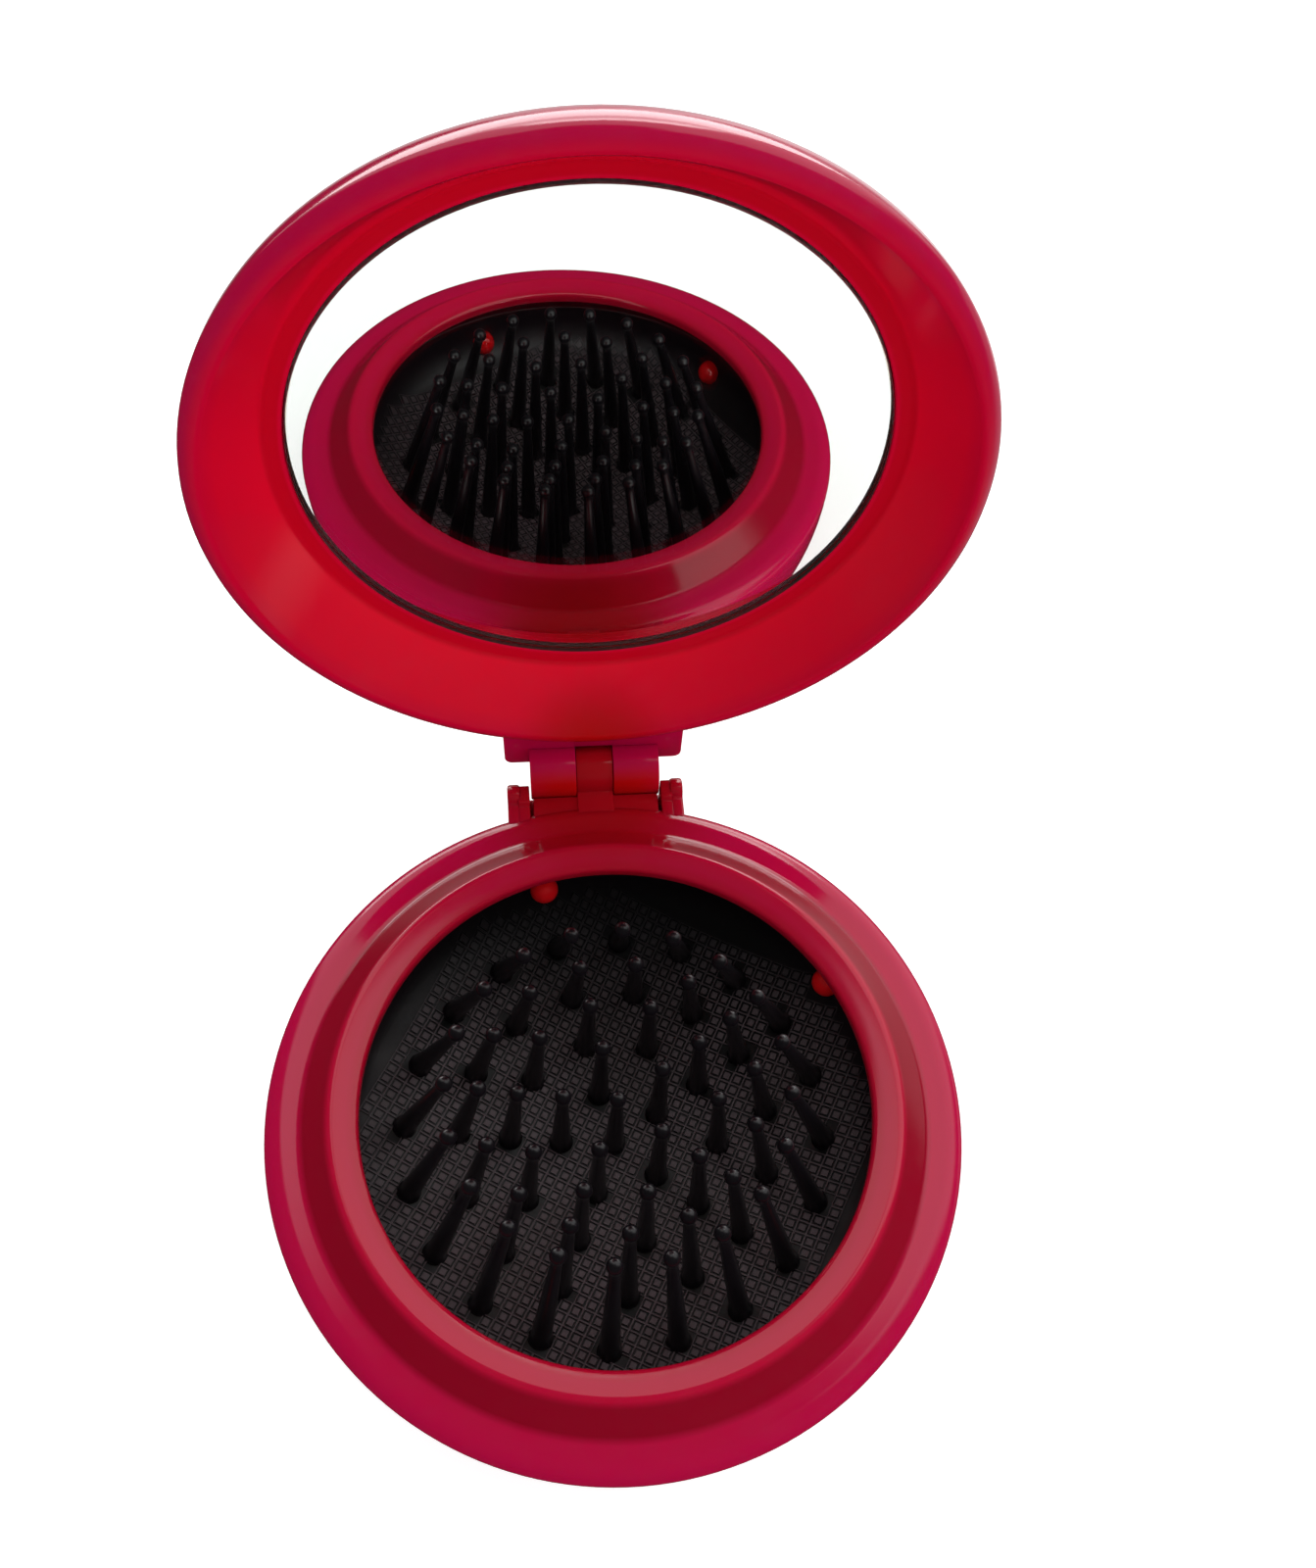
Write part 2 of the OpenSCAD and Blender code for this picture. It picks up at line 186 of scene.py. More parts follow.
def pastEdges(tree, *limits):
    # each limit is a value and an edge; 1 where every value is past the second number of its edge,
    # 0 where one is short of its first
    past = None
    for value, (start, end) in limits:
        step = addNode(tree, "ShaderNodeMapRange", {
            "Value": value, "From Min": start, "From Max": end,
        }, interpolation_type="SMOOTHSTEP")
        past = addNode(tree, "ShaderNodeMath", {0: past, 1: step}, operation="MULTIPLY") if past else step
    return past


def layColours(tree, ground, *layers):
    # each layer is how much of it covers what lies below, and its colour
    for cover, colour in layers:
        ground = addNode(tree, "ShaderNodeMix", {
            "Factor": cover, "A": ground, "B": linearColour(colour),
        }, data_type="RGBA").outputs[2]
    return ground


def radiusIn(tree, coords, placement, span):
    # distance from the piece's own axis, 0 at the first mm of span and 1 at its second
    back = placement.inverted()
    turned = addNode(tree, "ShaderNodeMapping", {
        "Vector": coords,
        "Location": back.translation,
        "Rotation": back.to_euler(),
        "Scale": back.to_scale(),
    })
    flat = addNode(tree, "ShaderNodeVectorMath", {0: turned, 1: (1, 1, 0)}, operation="MULTIPLY")
    length = addNode(tree, "ShaderNodeVectorMath", {0: flat}, operation="LENGTH")
    return addNode(tree, "ShaderNodeMapRange", {
        "Value": length.outputs["Value"], "From Min": span[0], "From Max": span[1],
    })


def heightIn(tree, coords, placement):
    # height in m above the plane where base and lid meet, in the closed brush
    axis = placement.to_3x3().col[2].normalized()
    along = addNode(tree, "ShaderNodeVectorMath", {0: coords, 1: axis}, operation="DOT_PRODUCT")
    return addNode(tree, "ShaderNodeMath", {
        0: along.outputs["Value"], 1: axis.dot(placement.translation),
    }, operation="SUBTRACT")


def startMaterial(name):
    material = bpy.data.materials.new(name)
    material.use_nodes = True
    tree = material.node_tree
    tree.nodes.clear()
    coords = addNode(tree, "ShaderNodeTexCoord").outputs["Object"]
    return material, tree, coords


# Materials; radii in mm, reaches and heights in m.
# Gloss ABS, injection moulded and tinted through: saturated, a little see-through, and with the faint
# waves of a polished mould.
redFinish = {
    "ior": 1.53,
    "roughness": 0.09,
    "scuffed": 0.08,  # more roughness where it is scuffed
    "scuffMm": 1.6,
    "scuffSpan": (0.35, 0.75),
    "waveMm": 9.0,
    "waveDepthMm": 0.010,
    "glow": 0.25,
    "glowDepthMm": 1.6,
    "glowReach": (1.0, 0.12, 0.2),
    "wallColour": "#B80740",
}
basePaintedShading = {
    "radii": (24.0, 36.0),
    # painted light and shade by radius: darker on the inside wall and on the slope up to the lip, which face
    # away from the light, brighter on the ledge and the lip
    "ramp": [
        (0.08, "#A80820"), (0.22, "#B80A38"), (0.35, "#B80A34"), (0.40, "#900420"),
        (0.58, "#940422"), (0.64, "#BC083E"), (0.95, "#B60742"),
    ],
    # painted light and shade: a deeper, less pink red near the hinge, for the little light coming through the
    # thick plastic there
    "hinge": "#A80816",
    "hingeReach": (0.018, 0.007),
    # painted glow: the pegs, in the shade under the lip, are painted bright as if lit through
    "peg": "#F0141C",
    "pegBelow": -0.0025,
    "pegInside": 0.45,  # of the ramp
    "wallHeights": (-0.0090, -0.0095),
}
lidPaintedShading = {
    "radii": (26.0, 36.0),
    # painted light by radius: bright red where light shines through the thin bezel, painted shade on the
    # ledge by the mirror, and magenta towards the rim
    "ramp": [
        (0.125, "#F00838"), (0.15, "#DE0524"), (0.27, "#DE0524"), (0.30, "#F4082F"),
        (0.62, "#E6062E"), (0.85, "#C00638"),
    ],
    # painted light and shade: a deeper red near the hinge, for the little light coming through the thick
    # plastic there
    "hinge": "#BC080A",
    "hingeReach": (0.0125, 0.005),
    "bezelSlope": 0.0143,
    "behindBezel": (0.0114, 0.0131),
    "crownHeights": (0.0083, 0.0087),
}


def onBaseWall(tree, height, radius):
    return pastEdges(tree, (height, basePaintedShading["wallHeights"]))


def onLidWall(tree, height, radius):
    # behind the slope of the bezel, or up on the crown
    slope = addNode(tree, "ShaderNodeMath", {0: radius, 1: lidPaintedShading["bezelSlope"]}, operation="MULTIPLY")
    fromSlope = addNode(tree, "ShaderNodeMath", {0: height, 1: slope}, operation="ADD")
    return addNode(tree, "ShaderNodeMath", {
        0: pastEdges(tree, (fromSlope, lidPaintedShading["behindBezel"])),
        1: pastEdges(tree, (height, lidPaintedShading["crownHeights"])),
    }, operation="MAXIMUM")


def glossAbs(name, placement, paintedShading, onWall):
    material, tree, coords = startMaterial(name)
    radius = radiusIn(tree, coords, placement, paintedShading["radii"])
    height = heightIn(tree, coords, placement)
    ramp = addNode(tree, "ShaderNodeValToRGB", {"Fac": radius})
    elements = ramp.color_ramp.elements
    while len(elements) < len(paintedShading["ramp"]):
        elements.new(1.0)
    for element, (position, colour) in zip(elements, paintedShading["ramp"]):
        element.position = position
    for element, (position, colour) in zip(elements, paintedShading["ramp"]):
        element.color = linearColour(colour)
    hingePlace = (0, brush["hingeY"] * metresPerMm, brush["baseHeight"] * metresPerMm)
    reach = addNode(tree, "ShaderNodeVectorMath", {0: coords, 1: hingePlace}, operation="DISTANCE")
    # the hinge colour is painted light and shade of the thick plastic there
    layers = [(pastEdges(tree, (reach.outputs["Value"], paintedShading["hingeReach"])), paintedShading["hinge"])]
    if "peg" in paintedShading:
        # the pegs stand inside the rim and below it, in the lip's shade, and get a painted glow
        below = addNode(tree, "ShaderNodeMath", {0: height, 1: paintedShading["pegBelow"]}, operation="LESS_THAN")
        inside = addNode(tree, "ShaderNodeMath", {0: radius, 1: paintedShading["pegInside"]}, operation="LESS_THAN")
        peg = addNode(tree, "ShaderNodeMath", {0: below, 1: inside}, operation="MULTIPLY")
        layers.append((peg, paintedShading["peg"]))
    # the outside wall has one colour; the ramp, with its painted light and shade, is for the side that shows
    # when the brush is open
    layers.append((onWall(tree, height, radius), redFinish["wallColour"]))
    scuffs = addNode(tree, "ShaderNodeTexNoise", {
        "Vector": coords, "Scale": 1 / (redFinish["scuffMm"] * metresPerMm), "Detail": 6.0, "Roughness": 0.7,
    })
    gloss = addNode(tree, "ShaderNodeMapRange", {
        "Value": scuffs, "From Min": redFinish["scuffSpan"][0], "From Max": redFinish["scuffSpan"][1],
        "To Min": redFinish["roughness"], "To Max": redFinish["roughness"] + redFinish["scuffed"],
    })
    waves = addNode(tree, "ShaderNodeTexNoise", {
        "Vector": coords, "Scale": 1 / (redFinish["waveMm"] * metresPerMm), "Detail": 1.0,
    })
    bump = addNode(tree, "ShaderNodeBump", {
        "Height": waves, "Strength": 1.0, "Distance": redFinish["waveDepthMm"] * metresPerMm,
    })
    shader = addNode(tree, "ShaderNodeBsdfPrincipled", {
        "Base Color": layColours(tree, ramp, *layers),
        "Roughness": gloss,
        "IOR": redFinish["ior"],
        "Subsurface Weight": redFinish["glow"],
        "Subsurface Radius": redFinish["glowReach"],
        "Subsurface Scale": redFinish["glowDepthMm"] * metresPerMm,
        "Normal": bump,
    })
    addNode(tree, "ShaderNodeOutputMaterial", {"Surface": shader})
    return material


# Soft rubber, moulded: near black and dull, with clouds of brown dust. Lighter raised squares and near-black
# grooves are painted sheen and shade, the purple cast towards its edge a painted reflection of the red rim
# with painted shade, and the darker back painted shadow.
rubberFinish = {
    "ior": 1.52,
    "roughness": (0.32, 0.52),
    "grainMm": 0.35,
    "grainDepthMm": 0.012,
    # painted sheen and shade: near-black grooves and lighter raised squares, for the sheen the tops catch and
    # the shade in the grooves
    "grooves": "#070607",
    "squares": "#5B4B50",
    "dust": "#2E221D",
    "dustMm": 9.0,
    "dustSpan": (0.42, 0.7),
    "dustShare": 0.35,
    # painted reflection and shade: a darker purple towards the edge, for the red rim reflected in the rubber
    # and the shade under it
    "edge": "#20121B",
    "edgeRadii": (22.0, 29.0),
    "edgeShare": 0.75,
    # painted shadow: darker at the back, under the lid and the lip
    "back": "#0C080C",
    "backShadowReach": (0.008, 0.025),
    "backShadowShare": 0.8,
}


def mouldedRubber():
    material, tree, coords = startMaterial("mouldedRubber")
    raised = addNode(tree, "ShaderNodeAttribute", attribute_name="raised").outputs["Fac"]
    clouds = addNode(tree, "ShaderNodeTexNoise", {
        "Vector": coords, "Scale": 1 / (rubberFinish["dustMm"] * metresPerMm), "Detail": 3.0,
    })
    dust = addNode(tree, "ShaderNodeMapRange", {
        "Value": clouds, "From Min": rubberFinish["dustSpan"][0], "From Max": rubberFinish["dustSpan"][1],
        "To Max": rubberFinish["dustShare"],
    })
    # painted reflection of the red rim and painted shade towards the edge
    edge = addNode(tree, "ShaderNodeMath", {
        0: radiusIn(tree, coords, toBase, rubberFinish["edgeRadii"]), 1: rubberFinish["edgeShare"],
    }, operation="MULTIPLY")
    y = addNode(tree, "ShaderNodeSeparateXYZ", {"Vector": coords}).outputs["Y"]
    # painted shadow at the back, under the lid and the lip
    back = addNode(tree, "ShaderNodeMath", {
        0: pastEdges(tree, (y, rubberFinish["backShadowReach"])), 1: rubberFinish["backShadowShare"],
    }, operation="MULTIPLY")
    grain = addNode(tree, "ShaderNodeTexNoise", {
        "Vector": coords, "Scale": 1 / (rubberFinish["grainMm"] * metresPerMm), "Detail": 3.0,
    })
    gloss = addNode(tree, "ShaderNodeMapRange", {
        "Value": grain, "To Min": rubberFinish["roughness"][0], "To Max": rubberFinish["roughness"][1],
    })
    bump = addNode(tree, "ShaderNodeBump", {
        "Height": grain, "Strength": 1.0, "Distance": rubberFinish["grainDepthMm"] * metresPerMm,
    })
    shader = addNode(tree, "ShaderNodeBsdfPrincipled", {
        "Base Color": layColours(tree, linearColour(rubberFinish["grooves"]),
                                 (raised, rubberFinish["squares"]), (dust, rubberFinish["dust"]),
                                 (edge, rubberFinish["edge"]), (back, rubberFinish["back"])),
        "Roughness": gloss,
        "IOR": rubberFinish["ior"],
        "Normal": bump,
    })
    addNode(tree, "ShaderNodeOutputMaterial", {"Surface": shader})
    return material


# Nylon, moulded: black with a satin skin, so only the balls catch a small soft highlight.
nylonFinish = {
    "ior": 1.53,
    "roughness": 0.29,
    "grainMm": 0.5,
    "grainDepthMm": 0.006,
    "dark": "#0C0A0E",
    "light": "#151015",
}


def satinNylon():
    material, tree, coords = startMaterial("satinNylon")
    grain = addNode(tree, "ShaderNodeTexNoise", {
        "Vector": coords, "Scale": 1 / (nylonFinish["grainMm"] * metresPerMm), "Detail": 4.0,
    })
    bump = addNode(tree, "ShaderNodeBump", {
        "Height": grain, "Strength": 1.0, "Distance": nylonFinish["grainDepthMm"] * metresPerMm,
    })
    shader = addNode(tree, "ShaderNodeBsdfPrincipled", {
        "Base Color": layColours(tree, linearColour(nylonFinish["dark"]), (grain, nylonFinish["light"])),
        "Roughness": nylonFinish["roughness"],
        "IOR": nylonFinish["ior"],
        "Normal": bump,
    })
    addNode(tree, "ShaderNodeOutputMaterial", {"Surface": shader})
    return material


# Float glass, cut round with a ground edge: clear with a green cast, dull only on the grinding.
glassFinish = {
    "ior": 1.52,
    "tint": "#FBFEFD",
    "groundRadii": (26.77, 26.79),
    "groundRoughness": 0.32,
}


def floatGlass():
    material, tree, coords = startMaterial("floatGlass")
    rough = addNode(tree, "ShaderNodeMath", {
        0: radiusIn(tree, coords, toOpenLid, glassFinish["groundRadii"]), 1: glassFinish["groundRoughness"],
    }, operation="MULTIPLY")
    shader = addNode(tree, "ShaderNodeBsdfPrincipled", {
        "Base Color": linearColour(glassFinish["tint"]),
        "Roughness": rough,
        "IOR": glassFinish["ior"],
        "Transmission Weight": 1.0,
    })
    addNode(tree, "ShaderNodeOutputMaterial", {"Surface": shader})
    return material


# Silver laid on the back of the glass: a true mirror, with a warm colour painted at its outer edge for the
# brown-gold glints there.
silverFinish = {"colour": "#F7F7F5", "edgeGlint": "#B9A27C", "edgeRadii": (26.6, 26.8)}


def mirrorSilver():
    material, tree, coords = startMaterial("mirrorSilver")
    edge = radiusIn(tree, coords, toOpenLid, silverFinish["edgeRadii"])
    shader = addNode(tree, "ShaderNodeBsdfPrincipled", {
        "Base Color": layColours(tree, linearColour(silverFinish["colour"]), (edge, silverFinish["edgeGlint"])),
        "Metallic": 1.0,
        "Roughness": 0.0,
    })
    addNode(tree, "ShaderNodeOutputMaterial", {"Surface": shader})
    return material


# Drawn steel wire: bright grey, with fine rings from the die round its axis.
steelFinish = {"colour": "#B9B8B6", "ringMm": 0.4, "roughness": (0.22, 0.4)}


def drawnSteel():
    material, tree, coords = startMaterial("drawnSteel")
    rings = addNode(tree, "ShaderNodeTexWave", {
        "Vector": coords, "Scale": 1 / (steelFinish["ringMm"] * metresPerMm),
        "Distortion": 1.5, "Detail": 2.0,
    }, wave_type="BANDS", bands_direction="X")
    gloss = addNode(tree, "ShaderNodeMapRange", {
        "Value": rings.outputs["Fac"],
        "To Min": steelFinish["roughness"][0], "To Max": steelFinish["roughness"][1],
    })
    shader = addNode(tree, "ShaderNodeBsdfPrincipled", {
        "Base Color": linearColour(steelFinish["colour"]),
        "Metallic": 1.0,
        "Roughness": gloss,
    })
    addNode(tree, "ShaderNodeOutputMaterial", {"Surface": shader})
    return material


# Polyethylene foam tape: white, matt, with open cells about 0.3 mm across on its cut edge.
foamFinish = {
    "roughness": 0.85,
    "cellMm": 0.3,
    "cellDepthMm": 0.06,
    "walls": "#E2E0D8",
    "cells": "#F2F1EC",
}


def foamTape():
    material, tree, coords = startMaterial("foamTape")
    cells = addNode(tree, "ShaderNodeTexVoronoi", {
        "Vector": coords, "Scale": 1 / (foamFinish["cellMm"] * metresPerMm),
    })
    bump = addNode(tree, "ShaderNodeBump", {
        "Height": cells, "Strength": 1.0, "Distance": foamFinish["cellDepthMm"] * metresPerMm,
    })
    shader = addNode(tree, "ShaderNodeBsdfPrincipled", {
        "Base Color": layColours(tree, linearColour(foamFinish["walls"]), (cells, foamFinish["cells"])),
        "Roughness": foamFinish["roughness"],
        "Normal": bump,
    })
    addNode(tree, "ShaderNodeOutputMaterial", {"Surface": shader})
    return material


baseRed = glossAbs("glossAbsBase", toBase, basePaintedShading, onBaseWall)
lidRed = glossAbs("glossAbsLid", toOpenLid, lidPaintedShading, onLidWall)
rubber = mouldedRubber()
nylon = satinNylon()
glass = floatGlass()
silver = mirrorSilver()
for nodeName, material in (("hinge_pin", drawnSteel()), ("mirror_adhesive", foamTape())):
    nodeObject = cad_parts[nodeName]
    nodeObject.data.materials.clear()
    nodeObject.data.materials.append(material)
print("materials ready")

# Base shell with its slope, lip and pegs.
shell = {
    "wall": 1.5,
    "footRadius": 25.0,
    "edgeWidth": 2.1,
    "edgeHeight": 1.4,
    "ledgeRadius": 31.25,
    "ledgeThickness": 1.6,
    "ledgeRound": 0.5,
    "lipRadius": 28.1,
    "lipHeight": 2.8,
    "lipSlope": 0.72,
    "lipUnder": 0.9,
    "lipRound": 0.45,
    "wellRound": 0.4,
    "skirtRadius": 30.05,
    "skirtThickness": 1.1,
    "skirtDepth": 8.0,
    "skirtRound": 0.2,
    "insideShift": 0.6,
    "mouthRadius": 27.7,
    "shelfRadius": 26.9,
    "shelfGap": 0.1,
    "shelfThickness": 0.5,
    "pegCount": 5,
    "pegRadius": 1.6,
    "pegHeight": -6.0,
    "pegReach": 3.45,
    "pegSink": 0.5,
    "turn": 12.8,
    "knuckleRadius": 2.8,
    "knuckleHalf": 2.0,
    "knuckleSink": 1.5,  # how deep the knuckle and the other hinge parts stand in the wall
    "partSink": 2.4,
    "earInner": 7.35,
    "earOuter": 9.8,
    "earRadius": 1.3,
    "earBack": 2.7,
    "earHeight": -0.7,
    "cheekWidth": 1.4,
    "hingeShelf": -3.45,
    "shelfHalf": 6.95,
    "shelfShort": 0.7,
    "fillerTop": -0.5,
    "fillerShort": 0.48,
}


def outsideHeight(radius):
    share = (radius - shell["footRadius"]) / (brush["outerRadius"] - shell["footRadius"])
    top = -shell["edgeHeight"]
    return top - (brush["baseHeight"] + top) * math.sqrt(1 - share ** 2)


def pegAngles():
    count = shell["pegCount"]
    return [math.radians(90 + shell["turn"] + i * 360 / count) for i in range(count)]


def shellOutline():
    outer = brush["outerRadius"]
    well = brush["wellRadius"]
    foot = shell["footRadius"]
    floor = shell["wall"] - brush["baseHeight"]
    edgeHeight = shell["edgeHeight"]
    under = -shell["ledgeThickness"]
    skirt = shell["skirtRadius"]
    skirtOuter = skirt + shell["skirtThickness"]
    skirtFoot = -shell["skirtDepth"]
    mouth = shell["mouthRadius"]
    shelf = shell["shelfRadius"]
    shelfBelow = floor + shell["shelfGap"]
    lip = shell["lipRadius"]
    lipUnder = shell["lipUnder"]
    # the wall's inside and outside end where the shelf and the cover's edge begin
    inside = quarterEllipse((foot - shell["insideShift"], under),
                            outer - shell["wall"] - foot + shell["insideShift"], floor - under)
    outside = quarterEllipse((foot, -edgeHeight), outer - foot, edgeHeight - brush["baseHeight"], 30)
    edge = quarterEllipse((outer - shell["edgeWidth"], -edgeHeight), shell["edgeWidth"], edgeHeight, 10)
    return [
        (shell["ledgeRadius"], 0, shell["ledgeRound"]), (lip, shell["lipHeight"], shell["lipRound"]),
        (well, shell["lipHeight"] - shell["lipSlope"], shell["wellRound"]), (well, lipUnder, 0.12),
        (lip - 0.5, lipUnder, 0.4), (skirt - 1.1, -0.6), (skirt, -1.4),
        (skirt, skirtFoot, shell["skirtRound"]), (skirtOuter, skirtFoot, shell["skirtRound"]),
        (skirtOuter, under),
        *[point for point in inside if point[0] > shelf + 0.8],
        (shelf, shelfBelow + shell["shelfThickness"]), (shelf, shelfBelow), (mouth, shelfBelow),
        (mouth, outsideHeight(mouth), 0.1),
        *reversed([point for point in outside if point[0] > mouth + 0.2]),
        *edge[1:],
    ]


def addBaseHinge(bm):
    y = brush["hingeY"]
    knuckleRoot = brush["outerRadius"] - shell["knuckleSink"]
    addPlate(bm, [(knuckleRoot, -0.2)] + arc((y, 0), shell["knuckleRadius"], 184, -90, 30)
             + [(y - 2.2, -3.4), (knuckleRoot, -6.2)],
             -shell["knuckleHalf"], shell["knuckleHalf"], edgeRound=0.08)
    # the two ears beside the lid's knuckles, each a cheek and a lower step
    wallY = brush["outerRadius"] - shell["partSink"]
    earY = y - shell["earBack"]
    earEnd = earY + shell["earRadius"]
    shelf = shell["hingeShelf"]
    for side in (-1, 1):
        step = (shell["earOuter"] - shell["cheekWidth"]) * side
        addPlate(bm, [(wallY, -0.3)] + arc((earY, shell["earHeight"]), shell["earRadius"], 162, 0, 12)
                 + [(earEnd, shelf - 0.6), (earY + 0.8, shelf - 1.1), (wallY, -7)],
                 step, shell["earOuter"] * side, edgeRound=0.3)
        addPlate(bm, [(wallY, -0.3), (earY - 1.6, -0.3), (earY - 1.3, 0.2), (earY + 0.7, 0.2),
                      (earY + 0.9, 0), (earY + 0.9, shelf - 0.5), (wallY, -6.5)],
                 shell["earInner"] * side, step + 0.2 * side, edgeRound=0.12)
    # the shelf that closes the hinge below them, the filler above it and the shelf's back part
    shelfOuter = shell["earOuter"] - shell["shelfShort"]
    shelfHalf = shell["shelfHalf"]
    fillerY = earY - shell["fillerShort"]
    addPlate(bm, [(wallY, shelf), (earY + 1.1, shelf), (earY + 1.1, shelf - 0.8), (earY + 0.7, shelf - 1),
                  (wallY, -6.8)], -shelfOuter, shelfOuter)
    addPlate(bm, [(wallY, shell["fillerTop"]), (fillerY, shell["fillerTop"]), (fillerY, shelf - 1),
                  (wallY, shelf - 1)], -shelfHalf, shelfHalf, edgeRound=0.06)
    addPlate(bm, [(earY, shelf), (y + 0.2, shelf), (y + 0.2, shelf - 0.5), (y, shelf - 0.7),
                  (earY, shelf - 1.1)], -shelfHalf, shelfHalf, edgeRound=0.08)


def makeBaseShell():
    bm = bmesh.new()
    spinOutline(bm, shellOutline())
    sink = shell["pegSink"]
    for angle in pegAngles():
        inwards = (Matrix.Rotation(angle, 4, "Z")
                   @ Matrix.Translation((shell["skirtRadius"] + sink, 0, shell["pegHeight"]))
                   @ Matrix.Rotation(math.radians(-90), 4, "Y"))
        addPeg(bm, shell["pegRadius"], shell["pegReach"] + sink, inwards)
    addBaseHinge(bm)
    finishPiece("baseShell", bm, toBase, baseRed, "base", ["base_shell"])


makeBaseShell()

# Cover snapped into the bottom of the base.
cover = {
    "radius": 27.6,
    "footSlope": 1.3,
    "boreRadius": 14.3,
    "collarRadius": 15.7,
    "collarThickness": 1.2,
    "collarHeight": 2.1,
    "snapRadius": 26.8,
    "snapThickness": 0.9,
    "snapHeight": 2.15,
    "snapOver": 0.3,
    "beadHeights": (0.75, 1.1, 1.5),
    "rimRise": 0.05,
}


def makeBaseCover():
    bm = bmesh.new()
    foot = -brush["baseHeight"]
    floor = foot + shell["wall"]
    bore = cover["boreRadius"]
    collar = cover["collarRadius"]
    collarOuter = collar + cover["collarThickness"]
    collarTop = floor + cover["collarHeight"]
    snap = cover["snapRadius"]
    snapTop = floor + cover["snapHeight"]
    snapInner = snap - cover["snapThickness"]
    bead = snap + cover["snapOver"]
    beadFoot, beadLow, beadHigh = (floor + height for height in cover["beadHeights"])
    edge = cover["radius"]
    rim = floor + cover["rimRise"]
    footEnd = shell["footRadius"] + cover["footSlope"]
    spinOutline(bm, [
        (bore, foot, 0.4), (bore, floor), (collar, floor), (collar, collarTop, 0.2),
        (collarOuter, collarTop, 0.2), (collarOuter, floor), (snapInner, floor),
        (snapInner, snapTop, 0.1), (snap - 0.2, snapTop, 0.1), (bead, beadHigh, 0.15),
        (bead, beadLow, 0.15), (snap, beadFoot), (snap, rim), (edge, rim),
        (edge, outsideHeight(edge), 0.1), (footEnd, outsideHeight(footEnd)),
        (shell["footRadius"], foot, 0.3),
    ])
    finishPiece("baseCover", bm, toBase, baseRed, "base", ["base_cover"])


makeBaseCover()

# Pins and the rubber pad they stand in.
pins = {
    "rings": 4,
    "ringStep": 5,
    "firstRadius": 5.798,
    "lastRadius": 22.3,
    "lean": 20.0,
    "length": 16.81,
    "rootRadius": 1.025,
    "rootFlare": ((0.28, 0.0, 0.12), (0.14, 0.4), (0.03, 1.0)),  # added radius, height and rounding
    "middleTaper": 0.26,
    "neckRadius": 0.575,
    "neckBelowBall": (1.9, 1.0),
    "ballRadius": 0.85,
    "stemRadius": 0.75,
    "headRadius": 1.4,
    "headHeight": 0.6,
    "headGap": 0.25,
    "spinSteps": 20,
}
pad = {
    "depth": 14.0,
    "rise": 4.4,
    "thickness": 1.2,
    "top": -2.2,
    "wallRadius": 28.55,
    "beadRadius": 29.75,
    "cornerWidth": 1.7,
    "cornerCurve": 0.62,
    "cornerInset": 0.15,
    "floorRows": 30,
    "undersideRows": 28,
    "bossRadius": 1.35,
    "bossHeight": 0.22,
    "bossLength": 0.8,
    "bossFlare": 0.25,
    "bossTaper": 0.15,
    "cell": 1.25,
    "cellTurn": 60.5,
    "cellsTo": 26,
    "cellReach": 28.2,
    "ridgeHalf": 0.075,
    "ridgeHeight": 0.2,
    "grooveSlope": 0.03,
    "grooveWidth": 0.17,
    "squareHeight": 0.22,
    "waffleSink": 0.6,
    "clearOfPins": 1.5,
    "clearOfPegs": 2.0,
    "popHeight": 6.0,
    "popDrop": 12.5,
    "popEdge": 28.0,
    "travel": 20.0,
}


def ringRadius(ring):
    step = (pins["lastRadius"] - pins["firstRadius"]) / (pins["rings"] - 1)
    return pins["firstRadius"] + (ring - 1) * step if ring else 0.0


def ringLean(ring):
    return math.radians(pins["lean"]) * (ringRadius(ring) / pins["lastRadius"]) ** 2


def bowlHeight(radius):
    return pad["rise"] * (radius / pins["lastRadius"]) ** 2 - pad["depth"]


def floorHeight(radius):
    # the bowl, curved up at its corner to meet the wall
    corner = max(0.0, radius - pad["wallRadius"] + pad["cornerWidth"])
    return bowlHeight(radius) + pad["cornerCurve"] * corner ** 2


def rootPlaces(ring):
    # where each pin of a ring stands on the rubber, with z along the pin; ring 0 is the pin in the middle
    count = ring * pins["ringStep"] if ring else 1
    for i in range(count):
        angle = math.radians(90 + shell["turn"] + i * 360 / count)
        radius = ringRadius(ring)
        yield (Matrix.Rotation(angle, 4, "Z") @ Matrix.Translation((radius, 0, bowlHeight(radius)))
               @ Matrix.Rotation(-ringLean(ring), 4, "Y"))


def popShare(radius, height=-math.inf):
    # how much of the button's travel a point of the rubber follows, from its height pushed in and popped
    domed = pad["popHeight"] - pad["popDrop"] * (radius / pad["popEdge"]) ** 6
    low = max(floorHeight(radius), height)
    return min(1.0, max(0.0, (domed - low) / pad["travel"]))


def followButton(piece, shares):
    mesh = piece.data
    places = [0.0] * (3 * len(mesh.vertices))
    mesh.vertices.foreach_get("co", places)
    line = []
    for share in shares:
        line += [0.0, 0.0, 0.5 - math.sin(math.asin(1 - 2 * share) / 3)]
    mesh.vertices.foreach_set("co", line)
    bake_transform(piece, "base", "button", start=(0, 0, 0), end=(0, 0, 1))
    mesh.vertices.foreach_set("co", places)
    mesh.update()


